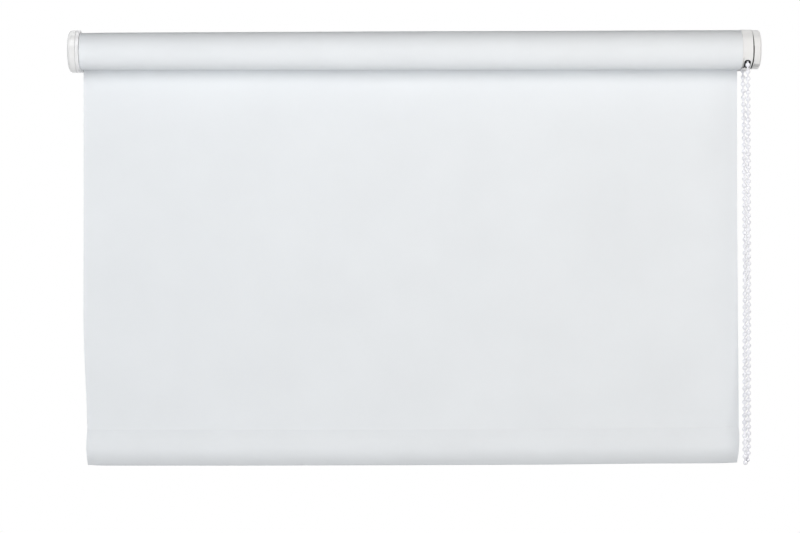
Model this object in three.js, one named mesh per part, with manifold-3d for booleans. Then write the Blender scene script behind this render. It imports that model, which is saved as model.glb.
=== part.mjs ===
// Blackout roller blind on a bead chain clutch, in millimetres.
// +X runs to the right as the blind is seen from the room, +Y towards the wall and +Z up.
// The origin is on the wall, midway between the two end covers, level with the roller's axis.

import * as THREE from 'three';
import { mergeVertices } from 'three/addons/utils/BufferGeometryUtils.js';
import Module from 'manifold-3d';

const wasm = await Module();
wasm.setup();

// Shared layout
const fabricWidth = 580;
const axisToWall = 27;
const hemDrop = 366.4; // roller axis down to the hem's lowest edge
const seatGap = 0.3; // left between solids that touch on the real blind
const cutOverrun = 1; // how far a cutter runs past the face it opens

// Stack of pieces outside each edge of the fabric
const idleRunningGap = 0.9;
const idleDiscThickness = 2.2;
const idleCapDepth = 6.9;
const driveRunningGap = 1.05;
const guardDepth = 7.05;
const driveSeam = 1.1;
const coverDepth = 7.3;

// Fabric, roller tube and the roll wound on it
const clothThickness = 0.45;
const rollRadius = 16.6;
const tubeRadius = 9.5;
const tubeWall = 0.9;
const keyWidth = 2;
const keyHeight = 1.1;

// Hem pocket and bottom bar
const weldHeight = 3.5;
const barThickness = 8;
const barHeight = 22;
const barWall = 1;
const barCapFlange = 1.7;
const barCapSpigot = 10;
const pocketTaper = 5.5; // from the weld down to the bar's top edge

// Idle end: bracket, cap, plug, pin and spring
const idleDiscRadius = 18.6;
const idleCapWall = 1.5;
const idleCapRounding = 3.5;
const collarRadius = 11.5;
const collarWall = 1.5;
const collarHeight = 4.2;
const plugLength = 27;
const plugFrontWall = 1.5;
const plugEndWall = 2;
const plugBoreRadius = 4.5;
const plugFit = 0.4; // radial room between a plug and the tube's bore
const pinRadius = 2.5;
const pinChamfer = 0.6;
const pinReach = 1.6; // how far the pin stands past the bracket's outer face
const pinCollarLength = 1.5;
const pinTailRadius = 1.6;
const pinTailLength = 10.5;
const pinHoleRadius = 2.85;
const pinSpringRadius = 2.9;
const pinSpringWire = 0.7;
const pinSpringTurns = 7;

// Wall plates of both brackets
const wallPlateThickness = 2.6;
const wallPlateHeight = 33;
const wallPlateWidth = 14;
const screwHoleRadius = 2.1;
const screwHoleRise = 11;
const screwHoleInset = 6.5; // from the plate's free edge

// Bead chain and its wheel
const beadDiameter = 4.5;
const beadPitch = 6;
const wheelPockets = 14;
const wheelWidth = 5.2;
const wheelRadius = 12.4;
const wheelBossLength = 3.4;
const pocketRadius = 2.5;
const wrapStartAngle = 0.363; // radians above the front tangent, first bead on the wheel
const wrapBeads = 7;
const frontStrandTop = -11.6;
const rearStrandTop = -14.2;

// Drive end: guard, bracket plate, cover, core, springs and adaptor
const guardRadius = 17.6;
const guardWall = 1.5;
const guardEndWall = 1.1;
const guardLipRounding = 0.5;
const slotWidth = 5.5;
const slotTop = -9.6;
const slotShift = 0.3; // the strands hang a little to the right of the wheel's middle
const slotBridge = 7.2; // solid strip left under the wheel between the two slots
const drivePlateThickness = 2;
const drivePlateRadius = 14.5;
const coverRadius = 17.2;
const coverEndWall = 1.6;
const coverRounding = 2;
const gripGrooves = 5; // a patch of fine grooves to pull the cover off by
const gripGrooveWidth = 0.6;
const gripGroovePitch = 1.1;
const gripGrooveDepth = 0.8;
const gripInset = 1.1; // from the cover's open edge to the first groove
const gripFrom = 3.95; // radians round from behind, past the bottom, to the front
const gripTo = 4.35;
const coreRadius = 4;
const coreStub = 2.2; // core that stands out of the adaptor's inner end
const spigotRadius = 3.4;
const coreFit = 0.35; // radial running room on the core
const adaptorLength = 24.7;
const adaptorBearing = 3;
const adaptorBoreRadius = 5.9;
const adaptorFlangeRadius = 9.4;
const adaptorFlange = 0.9;
const wrapSpringWire = 1;
const wrapSpringTurns = 5;
const clipThickness = 0.8;
const clipRadius = 6;
const clipGap = 3;
const clipGrooveDepth = 0.6;
const screwHeadRadius = 4.9;
const screwHeadChamfer = 0.9;
const screwHeadHeight = 1.7;
const screwShankRadius = 1.4;
const screwShankLength = 11;
const screwBoreRadius = 1.7;

// Facets
const roundSides = 40;
const smallSides = 20;
const rollSides = 72;
const filletSteps = 4;
const halfOvalSteps = 10;
const coilSteps = 12;
const coilSides = 5;
const chainSides = 6;
const hexSides = 6;
const mergeTolerance = 0.0001;

// Places along X, worked out from the stack
const overallWidth =
  idleCapDepth + seatGap + idleDiscThickness + idleRunningGap + fabricWidth +
  driveRunningGap + guardDepth + driveSeam + coverDepth;
const idleCapLeft = -overallWidth / 2;
const idleDiscLeft = idleCapLeft + idleCapDepth + seatGap;
const idleDiscRight = idleDiscLeft + idleDiscThickness;
const fabricLeft = idleDiscRight + idleRunningGap;
const fabricRight = fabricLeft + fabricWidth;
const guardLeft = fabricRight + driveRunningGap;
const guardRight = guardLeft + guardDepth;
const drivePlateLeft = guardRight + seatGap;
const drivePlateRight = drivePlateLeft + drivePlateThickness;
const coverLeft = guardRight + driveSeam;
const coverRight = coverLeft + coverDepth;
const wheelRight = guardRight - guardEndWall - seatGap;
const wheelLeft = wheelRight - wheelWidth;
const chainPlane = (wheelLeft + wheelRight) / 2;
const adaptorRight = wheelLeft - seatGap;
const adaptorLeft = adaptorRight - adaptorLength - adaptorFlange;

// Other derived places
const wheelPitchRadius = beadPitch / (2 * Math.sin(Math.PI / wheelPockets));
const sheetFront = rollRadius + seatGap; // behind the axis
const sheetMiddle = sheetFront + clothThickness / 2;
const barCentreZ = -hemDrop + clothThickness + seatGap + barHeight / 2;
const weldBottomZ = barCentreZ + barHeight / 2 + pocketTaper;
const weldTopZ = weldBottomZ + weldHeight;
const plugRadius = tubeRadius - tubeWall - plugFit;

// Chain loop below the wheel: behind the axis, height and sideways lean, front strand first
const chainRoute = [
  [-wheelPitchRadius, frontStrandTop, 0.5], [-13.3, -60, 0.8], [-12.75, -120, 0.95],
  [-12, -180, 1.1], [-10.2, -240, 1.2], [-6.9, -300, 1.5], [-2.8, -334, 2.1], [0.6, -352, 2.5],
  [2, -360.4, 1.8], [2.2, -363.9, 0.8], [1, -364.2, -0.1], [-1.2, -360.6, -0.8],
  [-1.2, -352.5, -1.1], [1.9, -334, -0.8], [6.6, -300, 0.2], [10, -240, 1], [11.8, -180, 1.5],
  [12.75, -120, 1.4], [13.3, -60, 1.1], [wheelPitchRadius, rearStrandTop, 0.2],
];

// Outline of a bead: place along the thread and radius, as shares of the bead's radius
const beadOutlineShares = [[-0.94, 0.34], [-0.42, 0.96], [0.42, 0.96], [0.94, 0.34]];
const beadNeck = (beadDiameter / 2) * beadOutlineShares.at(-1)[0];

// Materials
const whitePlastic = new THREE.MeshStandardMaterial({ color: 0xf1f2f4, roughness: 0.22 });
const coatedCloth = new THREE.MeshStandardMaterial({ color: 0xe8edf1, roughness: 0.7 });
const beadPlastic = new THREE.MeshStandardMaterial({ color: 0xe6e7f2, roughness: 0.3 });
const greyPlastic = new THREE.MeshStandardMaterial({ color: 0x8b8f94, roughness: 0.5 });
const aluminium = new THREE.MeshStandardMaterial({ color: 0xc9ccd0, roughness: 0.35, metalness: 1 });
const springSteel = new THREE.MeshStandardMaterial({ color: 0xa9abb0, roughness: 0.3, metalness: 1 });

// Meshes with shared corners and no triangle of zero size
function closed(geometry) {
  geometry.deleteAttribute('normal');
  geometry.deleteAttribute('uv');
  const merged = mergeVertices(geometry, mergeTolerance);
  const corners = merged.index.array;
  const kept = [];
  for (let i = 0; i < corners.length; i += 3) {
    const [a, b, c] = corners.slice(i, i + 3);
    if (a !== b && b !== c && c !== a) kept.push(a, b, c);
  }
  merged.setIndex(kept);
  return merged;
}

function solidOf(geometry) {
  const mesh = closed(geometry);
  return new wasm.Manifold(new wasm.Mesh({
    numProp: 3,
    vertProperties: new Float32Array(mesh.attributes.position.array),
    triVerts: new Uint32Array(mesh.index.array),
  }));
}

function geometryOf(solid) {
  const mesh = solid.getMesh();
  const geometry = new THREE.BufferGeometry();
  geometry.setAttribute('position', new THREE.BufferAttribute(new Float32Array(mesh.vertProperties), 3));
  geometry.setIndex(Array.from(mesh.triVerts));
  return geometry;
}

function joined(first, ...others) {
  return others.reduce((solid, other) => solid.add(solidOf(other)), solidOf(first));
}

function cut(solid, ...cutters) {
  return cutters.reduce((left, cutter) => left.subtract(solidOf(cutter)), solid);
}

// A body of revolution about the roller's axis from [x, radius] points
function turned(outline, sides = roundSides) {
  const points = outline.map(([x, radius]) => new THREE.Vector2(radius, x));
  return new THREE.LatheGeometry(points, sides).rotateZ(-Math.PI / 2);
}

function ring(fromX, toX, inner, outer, sides) {
  return turned([[fromX, inner], [fromX, outer], [toX, outer], [toX, inner], [fromX, inner]], sides);
}

function disc(fromX, toX, radius, sides) {
  return turned([[fromX, 0], [fromX, radius], [toX, radius], [toX, 0]], sides);
}

function box([x0, x1], [y0, y1], [z0, z1]) {
  return new THREE.BoxGeometry(x1 - x0, y1 - y0, z1 - z0)
    .translate((x0 + x1) / 2, (y0 + y1) / 2, (z0 + z1) / 2);
}

// A section drawn in Y and Z, run along X
function runAlongX(section, fromX, toX) {
  const placed = new THREE.Matrix4().makeBasis(
    new THREE.Vector3(0, 1, 0), new THREE.Vector3(0, 0, 1), new THREE.Vector3(1, 0, 0));
  return new THREE.ExtrudeGeometry(section, { depth: toX - fromX, bevelEnabled: false })
    .applyMatrix4(placed).translate(fromX, 0, 0);
}

// A section drawn in X and Z, run along Y
function runAlongY(section, fromY, toY) {
  const placed = new THREE.Matrix4().makeBasis(
    new THREE.Vector3(1, 0, 0), new THREE.Vector3(0, 0, 1), new THREE.Vector3(0, -1, 0));
  return new THREE.ExtrudeGeometry(section, { depth: toY - fromY, bevelEnabled: false })
    .applyMatrix4(placed).translate(0, toY, 0);
}

function polygon(points) {
  return new THREE.Shape(points.map(([u, v]) => new THREE.Vector2(u, v)));
}

function hole(points) {
  return new THREE.Path(points.map(([u, v]) => new THREE.Vector2(u, v)));
}

function turns(sides) {
  return Array.from({ length: sides }, (_, i) => (i / sides) * 2 * Math.PI);
}

function circlePoints(radius, sides) {
  return turns(sides).map((angle) => [radius * Math.cos(angle), radius * Math.sin(angle)]);
}

function arcPoints([u, v], radius, from, to, steps) {
  return Array.from({ length: steps + 1 }, (_, i) => {
    const angle = from + (i / steps) * (to - from);
    return [u + radius * Math.cos(angle), v + radius * Math.sin(angle)];
  });
}

// A closed skin over rings of corners, each ring counterclockwise about the way they run
function skin(rings) {
  const sides = rings[0].length;
  const last = (rings.length - 1) * sides;
  const triangles = [];
  for (let start = 0; start < last; start += sides) {
    for (let i = 0; i < sides; i += 1) {
      const [a, b] = [start + i, start + ((i + 1) % sides)];
      triangles.push(a, b, b + sides, a, b + sides, a + sides);
    }
  }
  for (let i = 1; i < sides - 1; i += 1) {
    triangles.push(0, i + 1, i, last, last + i, last + i + 1);
  }
  const geometry = new THREE.BufferGeometry().setFromPoints(rings.flat());
  geometry.setIndex(triangles);
  return geometry;
}

// A tube along a curve, with its radius given at each distance
function tubeAlong(curve, stations, sides) {
  const sideways = new THREE.Vector3(1, 0, 0);
  const length = curve.getLength();
  return skin(stations.map(({ distance, radius }) => {
    const centre = curve.getPointAt(distance / length);
    const tangent = curve.getTangentAt(distance / length);
    const across = sideways.clone().addScaledVector(tangent, -sideways.dot(tangent)).normalize();
    const outward = new THREE.Vector3().crossVectors(tangent, across);
    return turns(sides).map((angle) => centre.clone()
      .addScaledVector(across, radius * Math.cos(angle))
      .addScaledVector(outward, radius * Math.sin(angle)));
  }));
}

// Radii along a bead chain that starts and ends with the neck of a bead
function beadStations(length, beads) {
  const half = beadDiameter / 2;
  const pitch = (length - 2 * beadNeck) / (beads - 1);
  return Array.from({ length: beads }, (_, i) => beadNeck + i * pitch).flatMap((centre) =>
    beadOutlineShares.map(([along, wide]) => ({
      distance: Math.min(centre + along * half, length),
      radius: wide * half,
    })));
}

function coil(fromX, toX, radius, wire, count) {
  const rise = (toX - fromX - wire) / (count * coilSteps);
  return skin(Array.from({ length: count * coilSteps + 1 }, (_, i) => {
    const angle = (i / coilSteps) * 2 * Math.PI;
    return turns(coilSides).map((turn) => {
      const reach = radius + (wire / 2) * Math.cos(turn);
      return new THREE.Vector3(
        fromX + wire / 2 + i * rise - (wire / 2) * Math.sin(turn),
        reach * Math.cos(angle), reach * Math.sin(angle));
    });
  }));
}

// Wall plate with two screw holes, whose free edge points to the blind's middle
function wallPlateSpan(outerX, towardsMiddle) {
  const innerX = outerX + towardsMiddle * wallPlateWidth;
  return [Math.min(outerX, innerX), Math.max(outerX, innerX)];
}

function wallPlate(span) {
  const front = axisToWall - wallPlateThickness;
  return box(span, [front, axisToWall], [-wallPlateHeight / 2, wallPlateHeight / 2]);
}

function screwHoles(holeX) {
  const section = polygon(circlePoints(screwHoleRadius, smallSides));
  return [-screwHoleRise, screwHoleRise].map((rise) =>
    runAlongY(section, axisToWall - wallPlateThickness - cutOverrun, axisToWall + cutOverrun)
      .translate(holeX, 0, rise));
}

function idleBracket() {
  const span = wallPlateSpan(idleDiscLeft, 1);
  const half = wallPlateHeight / 2;
  const web = box([idleDiscLeft, idleDiscRight], [0, axisToWall], [-half, half]);
  const collar = disc(idleDiscLeft - collarHeight, idleDiscRight, collarRadius);
  const body = joined(disc(idleDiscLeft, idleDiscRight, idleDiscRadius), web, wallPlate(span), collar);
  const hollow = disc(idleDiscLeft - collarHeight - cutOverrun, idleDiscLeft, collarRadius - collarWall);
  const pinHole = disc(idleDiscLeft - cutOverrun, idleDiscRight + cutOverrun, pinHoleRadius, smallSides);
  return geometryOf(cut(body, hollow, pinHole, ...screwHoles(span[1] - screwHoleInset)));
}

function idleCap() {
  const seam = idleDiscLeft - seatGap;
  const centre = [idleCapLeft + idleCapRounding, idleDiscRadius - idleCapRounding];
  const inside = idleCapLeft + idleCapWall;
  const grip = collarRadius + seatGap;
  return turned([
    [idleCapLeft, 0],
    ...arcPoints(centre, idleCapRounding, Math.PI, Math.PI / 2, filletSteps),
    [seam, idleDiscRadius],
    [seam, idleDiscRadius - idleCapWall],
    ...arcPoints(centre, idleCapRounding - idleCapWall, Math.PI / 2, Math.PI, filletSteps),
    [inside, grip + collarWall],
    [seam, grip + collarWall],
    [seam, grip],
    [inside, grip],
    [inside, 0],
  ]);
}

function keyway(fromX, toX) {
  const half = keyWidth / 2 + seatGap;
  const floor = tubeRadius - tubeWall - keyHeight - seatGap;
  return box([fromX - cutOverrun, toX], [-half, half], [floor, tubeRadius]);
}

function idlePlug() {
  const left = fabricLeft;
  const right = left + plugLength;
  const body = turned([
    [right - plugEndWall, 0],
    [right - plugEndWall, plugBoreRadius],
    [left + plugFrontWall, plugBoreRadius],
    [left + plugFrontWall, pinHoleRadius],
    [left, pinHoleRadius],
    [left, plugRadius],
    [right, plugRadius],
    [right, 0],
  ]);
  return geometryOf(cut(solidOf(body), keyway(left, right + cutOverrun)));
}

function idlePin() {
  const tip = idleDiscLeft - pinReach;
  const collarLeft = fabricLeft + plugFrontWall + seatGap;
  const collarRight = collarLeft + pinCollarLength;
  return turned([
    [tip, 0],
    [tip, pinRadius - pinChamfer],
    [tip + pinChamfer, pinRadius],
    [collarLeft, pinRadius],
    [collarLeft, plugBoreRadius - seatGap],
    [collarRight, plugBoreRadius - seatGap],
    [collarRight, pinTailRadius],
    [collarRight + pinTailLength, pinTailRadius],
    [collarRight + pinTailLength, 0],
  ], smallSides);
}

function pinSpring() {
  const from = fabricLeft + plugFrontWall + seatGap + pinCollarLength + seatGap;
  const to = fabricLeft + plugLength - plugEndWall - seatGap;
  return coil(from, to, pinSpringRadius, pinSpringWire, pinSpringTurns);
}

function rollerTube() {
  const bore = tubeRadius - tubeWall;
  const half = keyWidth / 2;
  const keyAngle = Math.asin(half / bore);
  const section = polygon(circlePoints(tubeRadius, roundSides));
  section.holes.push(hole([
    ...arcPoints([0, 0], bore, Math.PI / 2 + keyAngle, 2.5 * Math.PI - keyAngle, roundSides),
    [half, bore - keyHeight],
    [-half, bore - keyHeight],
  ]));
  return runAlongX(section, fabricLeft, fabricRight);
}

// The roll's outer turn shrinks by one thickness of cloth on its way round,
// so that it steps where the hanging sheet leaves at the back
function fabricRoll() {
  const outline = Array.from({ length: rollSides + 1 }, (_, i) => {
    const share = i / rollSides;
    const radius = rollRadius - share * clothThickness;
    const angle = share * 2 * Math.PI;
    return [radius * Math.cos(angle), radius * Math.sin(angle)];
  });
  const section = polygon(outline);
  section.holes.push(hole(circlePoints(tubeRadius + seatGap, roundSides)));
  return runAlongX(section, fabricLeft, fabricRight);
}

function fabricSheet() {
  return box([fabricLeft, fabricRight], [sheetFront, sheetFront + clothThickness], [weldTopZ + seatGap, 0]);
}

// Teardrop outline round the bottom bar, closed at the top by the points of its neck
function pocketOutline(radius, neck) {
  const rise = (barHeight - barThickness) / 2;
  const highCentre = [sheetMiddle, barCentreZ + rise];
  const lean = Math.asin(radius / (neck[0][1] - highCentre[1]));
  return [
    ...arcPoints([sheetMiddle, barCentreZ - rise], radius, Math.PI, 2 * Math.PI, halfOvalSteps),
    ...arcPoints(highCentre, radius, 0, lean, filletSteps),
    ...neck,
    ...arcPoints(highCentre, radius, Math.PI - lean, Math.PI, filletSteps),
  ];
}

function hemPocket() {
  const section = polygon(pocketOutline(barThickness / 2 + seatGap + clothThickness, [
    [sheetMiddle + clothThickness, weldBottomZ],
    [sheetMiddle + clothThickness, weldTopZ],
    [sheetMiddle - clothThickness, weldTopZ],
    [sheetMiddle - clothThickness, weldBottomZ],
  ]));
  section.holes.push(hole(pocketOutline(barThickness / 2 + seatGap, [
    [sheetMiddle + seatGap / 2, weldBottomZ - clothThickness],
    [sheetMiddle - seatGap / 2, weldBottomZ - clothThickness],
  ])));
  return runAlongX(section, fabricLeft, fabricRight);
}

function ovalPoints(inset) {
  const radius = barThickness / 2 - inset;
  const rise = (barHeight - barThickness) / 2;
  return [
    ...arcPoints([sheetMiddle, barCentreZ - rise], radius, Math.PI, 2 * Math.PI, halfOvalSteps),
    ...arcPoints([sheetMiddle, barCentreZ + rise], radius, 0, Math.PI, halfOvalSteps),
  ];
}

function bottomBar() {
  const section = polygon(ovalPoints(0));
  section.holes.push(hole(ovalPoints(barWall)));
  const inset = barCapFlange + seatGap;
  return runAlongX(section, fabricLeft + inset, fabricRight - inset);
}

function barCap(edgeX, inward) {
  const flange = [edgeX, edgeX + inward * barCapFlange].sort((a, b) => a - b);
  const spigot = [edgeX, edgeX + inward * (barCapFlange + barCapSpigot)].sort((a, b) => a - b);
  return geometryOf(joined(
    runAlongX(polygon(ovalPoints(0)), ...flange),
    runAlongX(polygon(ovalPoints(barWall + seatGap)), ...spigot)));
}

function hexHole(fromX, toX) {
  return disc(fromX - cutOverrun, toX + cutOverrun, spigotRadius + seatGap, hexSides);
}

function driveBracket() {
  const span = wallPlateSpan(drivePlateRight, -1);
  const web = box([drivePlateLeft, drivePlateRight], [0, axisToWall], [-drivePlateRadius, drivePlateRadius]);
  const body = joined(disc(drivePlateLeft, drivePlateRight, drivePlateRadius), web, wallPlate(span));
  return geometryOf(cut(
    body, hexHole(drivePlateLeft, drivePlateRight), ...screwHoles(span[0] + screwHoleInset)));
}

// Keyhole slot that lets one strand of the chain out of the guard
function chainSlot(fromY, toY) {
  const half = slotWidth / 2;
  const middle = chainPlane + slotShift;
  const arch = arcPoints([middle, slotTop - half], half, 0, Math.PI, halfOvalSteps);
  const floor = -guardRadius - cutOverrun;
  return runAlongY(polygon([...arch, [middle - half, floor], [middle + half, floor]]), fromY, toY);
}

function chainGuard() {
  const inside = guardRadius - guardWall;
  const endWall = guardRight - guardEndWall;
  const body = turned([
    [endWall, 0],
    [endWall, inside],
    [guardLeft, inside],
    [guardLeft, guardRadius - guardLipRounding],
    [guardLeft + guardLipRounding, guardRadius],
    [guardRight, guardRadius],
    [guardRight, 0],
  ]);
  const reach = guardRadius + cutOverrun;
  return geometryOf(cut(
    solidOf(body), hexHole(endWall, guardRight),
    chainSlot(-reach, -slotBridge / 2), chainSlot(slotBridge / 2, reach)));
}

function driveCover() {
  const inside = drivePlateRadius + seatGap;
  const endWall = coverRight - coverEndWall;
  const body = turned([
    [endWall, 0],
    [endWall, inside],
    [coverLeft, inside],
    [coverLeft, coverRadius],
    ...arcPoints(
      [coverRight - coverRounding, coverRadius - coverRounding], coverRounding, Math.PI / 2, 0, filletSteps),
    [coverRight, 0],
  ]);
  const armNotch = box(
    [coverLeft - cutOverrun, drivePlateRight + seatGap], [0, coverRadius + cutOverrun],
    [-drivePlateRadius - seatGap, drivePlateRadius + seatGap]);
  const groove = polygon([
    ...arcPoints([0, 0], coverRadius - gripGrooveDepth, gripFrom, gripTo, filletSteps),
    ...arcPoints([0, 0], coverRadius + cutOverrun, gripTo, gripFrom, filletSteps),
  ]);
  const grip = Array.from({ length: gripGrooves }, (_, i) => {
    const grooveLeft = coverLeft + gripInset + i * gripGroovePitch;
    return runAlongX(groove, grooveLeft, grooveLeft + gripGrooveWidth);
  });
  return geometryOf(cut(solidOf(body), armNotch, ...grip));
}

function clutchCore() {
  const left = adaptorLeft - coreStub;
  const clipLeft = adaptorLeft - seatGap - clipThickness;
  const round = turned([
    [left, 0],
    [left, coreRadius],
    [clipLeft - seatGap, coreRadius],
    [clipLeft - seatGap, coreRadius - clipGrooveDepth],
    [adaptorLeft, coreRadius - clipGrooveDepth],
    [adaptorLeft, coreRadius],
    [wheelRight, coreRadius],
    [wheelRight, 0],
  ], smallSides);
  const spigot = disc(wheelRight - cutOverrun, drivePlateRight, spigotRadius, hexSides);
  const bore = disc(
    drivePlateRight - screwShankLength - seatGap, drivePlateRight + cutOverrun, screwBoreRadius, smallSides);
  return geometryOf(cut(joined(round, spigot), bore));
}

function coreClip() {
  const inner = coreRadius - clipGrooveDepth + seatGap / 2;
  const right = adaptorLeft - seatGap;
  const mouth = box(
    [right - clipThickness - cutOverrun, right + cutOverrun], [-clipGap / 2, clipGap / 2],
    [-clipRadius - cutOverrun, 0]);
  return geometryOf(cut(solidOf(ring(right - clipThickness, right, inner, clipRadius, smallSides)), mouth));
}

function coreScrew() {
  const underHead = drivePlateRight + seatGap;
  return turned([
    [drivePlateRight - screwShankLength, 0],
    [drivePlateRight - screwShankLength, screwShankRadius],
    [underHead, screwShankRadius],
    [underHead, screwHeadRadius],
    [underHead + screwHeadHeight - screwHeadChamfer, screwHeadRadius],
    [underHead + screwHeadHeight, screwHeadRadius - screwHeadChamfer],
    [underHead + screwHeadHeight, 0],
  ], smallSides);
}

function driveAdaptor() {
  const flangeLeft = adaptorRight - adaptorFlange;
  const body = turned([
    [adaptorLeft, coreRadius + coreFit],
    [adaptorLeft, plugRadius],
    [flangeLeft, plugRadius],
    [flangeLeft, adaptorFlangeRadius],
    [adaptorRight, adaptorFlangeRadius],
    [adaptorRight, adaptorBoreRadius],
    [adaptorLeft + adaptorBearing, adaptorBoreRadius],
    [adaptorLeft + adaptorBearing, coreRadius + coreFit],
    [adaptorLeft, coreRadius + coreFit],
  ]);
  return geometryOf(cut(solidOf(body), keyway(adaptorLeft, flangeLeft)));
}

function chainWheel() {
  const bore = coreRadius + coreFit;
  const boss = adaptorBoreRadius - seatGap;
  const body = turned([
    [wheelLeft - wheelBossLength, bore],
    [wheelLeft - wheelBossLength, boss],
    [wheelLeft, boss],
    [wheelLeft, wheelRadius],
    [wheelRight, wheelRadius],
    [wheelRight, bore],
    [wheelLeft - wheelBossLength, bore],
  ], wheelPockets * 3);
  const pockets = Array.from({ length: wheelPockets }, (_, i) => {
    const angle = wrapStartAngle + (i / wheelPockets) * 2 * Math.PI;
    return new THREE.SphereGeometry(pocketRadius, 8, 6).rotateX(Math.PI / 2).translate(
      chainPlane, -wheelPitchRadius * Math.cos(angle), wheelPitchRadius * Math.sin(angle));
  });
  return geometryOf(cut(solidOf(body), ...pockets));
}

function wrapSprings() {
  const from = adaptorLeft + adaptorBearing + seatGap;
  const to = wheelLeft - wheelBossLength - seatGap;
  const length = (to - from - seatGap) / 2;
  const radius = coreRadius + coreFit + wrapSpringWire / 2;
  return [from, from + length + seatGap].map((start) =>
    coil(start, start + length, radius, wrapSpringWire, wrapSpringTurns));
}

// Beads that lie in the wheel's upper pockets, on one thread
function chainWrap() {
  const neckAngle = beadNeck / wheelPitchRadius;
  const from = wrapStartAngle - neckAngle;
  const to = wrapStartAngle + ((wrapBeads - 1) * 2 * Math.PI) / wheelPockets + neckAngle;
  const points = arcPoints([0, 0], wheelPitchRadius, Math.PI - from, Math.PI - to, wrapBeads * filletSteps);
  const arc = new THREE.CatmullRomCurve3(points.map(([y, z]) => new THREE.Vector3(chainPlane, y, z)));
  return tubeAlong(arc, beadStations(arc.getLength(), wrapBeads), chainSides);
}

function chainLoop() {
  const curve = new THREE.CatmullRomCurve3(chainRoute.map(([y, z, lean]) =>
    new THREE.Vector3(chainPlane + lean, y, z)));
  curve.arcLengthDivisions = chainRoute.length * smallSides;
  const beads = Math.round((curve.getLength() - 2 * beadNeck) / beadPitch) + 1;
  console.log(`chain loop of ${curve.getLength().toFixed(1)} mm with ${beads} beads`);
  return tubeAlong(curve, beadStations(curve.getLength(), beads), chainSides);
}

const blind = new THREE.Group();
const axisFrame = new THREE.Group(); // the roller's axis, in front of the wall
axisFrame.position.y = -axisToWall;
blind.add(axisFrame);

function addPiece(name, geometry, material) {
  const piece = new THREE.Mesh(closed(geometry), material);
  piece.name = name;
  axisFrame.add(piece);
}

addPiece('idle_bracket', idleBracket(), whitePlastic);
addPiece('idle_cap', idleCap(), whitePlastic);
addPiece('drive_bracket', driveBracket(), whitePlastic);
addPiece('drive_cover', driveCover(), whitePlastic);
addPiece('chain_guard', chainGuard(), whitePlastic);
addPiece('clutch_core', clutchCore(), greyPlastic);
addPiece('core_clip', coreClip(), springSteel);
addPiece('core_screw', coreScrew(), springSteel);
addPiece('roller_tube', rollerTube(), aluminium);
addPiece('fabric_roll', fabricRoll(), coatedCloth);
addPiece('idle_plug', idlePlug(), greyPlastic);
addPiece('idle_pin', idlePin(), greyPlastic);
addPiece('pin_spring', pinSpring(), springSteel);
addPiece('drive_adaptor', driveAdaptor(), greyPlastic);
addPiece('chain_wheel', chainWheel(), whitePlastic);
wrapSprings().forEach((geometry, i) => addPiece(`wrap_spring_${i + 1}`, geometry, springSteel));
addPiece('chain_wrap', chainWrap(), beadPlastic);
addPiece('chain_loop', chainLoop(), beadPlastic);
addPiece('fabric_sheet', fabricSheet(), coatedCloth);
addPiece('hem_pocket', hemPocket(), coatedCloth);
addPiece('bottom_bar', bottomBar(), aluminium);
addPiece('bar_cap_left', barCap(fabricLeft, 1), whitePlastic);
addPiece('bar_cap_right', barCap(fabricRight, -1), whitePlastic);

export default blind;
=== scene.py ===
import math

import bmesh
import bpy
import numpy as np
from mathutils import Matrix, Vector, noise


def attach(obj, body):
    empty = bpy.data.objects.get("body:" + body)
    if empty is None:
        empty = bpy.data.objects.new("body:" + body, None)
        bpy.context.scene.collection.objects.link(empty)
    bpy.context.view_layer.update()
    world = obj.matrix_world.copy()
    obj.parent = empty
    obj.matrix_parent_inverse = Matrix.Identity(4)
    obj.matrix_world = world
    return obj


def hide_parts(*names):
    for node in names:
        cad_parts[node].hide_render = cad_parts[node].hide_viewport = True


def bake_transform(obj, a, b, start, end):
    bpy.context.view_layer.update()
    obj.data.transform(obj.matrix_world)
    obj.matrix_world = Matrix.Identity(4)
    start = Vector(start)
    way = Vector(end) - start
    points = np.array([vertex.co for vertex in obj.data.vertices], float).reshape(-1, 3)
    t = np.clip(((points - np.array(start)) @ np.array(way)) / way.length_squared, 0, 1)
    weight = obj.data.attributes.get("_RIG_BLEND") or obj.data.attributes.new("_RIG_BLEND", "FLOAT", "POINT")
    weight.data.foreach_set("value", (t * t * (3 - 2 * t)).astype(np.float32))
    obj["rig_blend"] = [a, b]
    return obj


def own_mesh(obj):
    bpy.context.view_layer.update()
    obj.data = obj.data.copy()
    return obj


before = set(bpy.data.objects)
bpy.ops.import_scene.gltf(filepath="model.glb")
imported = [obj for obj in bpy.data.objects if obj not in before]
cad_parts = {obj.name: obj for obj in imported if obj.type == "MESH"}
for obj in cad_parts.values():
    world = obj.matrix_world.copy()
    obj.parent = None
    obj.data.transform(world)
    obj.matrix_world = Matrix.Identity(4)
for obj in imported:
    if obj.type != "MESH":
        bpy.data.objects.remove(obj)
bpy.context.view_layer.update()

# Sizes are in millimetres about the roller's axis, as in the part's source: x runs to the right,
# y away from the camera and z up. placed() turns them into metres in the shared frame.
MM = 0.001
AXIS_TO_WALL = 27.0
FULL_TURN = 2 * math.pi

# Cloth
FABRIC_LEFT, FABRIC_RIGHT = -293.1, 286.9
CLOTH = 0.45  # its thickness
ROLL_LEFT_RADIUS, ROLL_RIGHT_RADIUS = 15.85, 17.3
ROLL_BORE = 9.8
TURN_GAP = 0.03  # between the wound cloth and its outer turn
SHEET_MIDDLE = 17.125  # the hanging cloth's middle plane, behind the axis
WELD_TOP, WELD_BOTTOM = -334.65, -338.15
WRAP_START = math.radians(-20)  # where the outer turn begins
EDGE_REACH = 45.0  # how far in from a cut edge its wandering fades
MEASURED_COLUMN = 50  # the column along which the strip's length is measured

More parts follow.
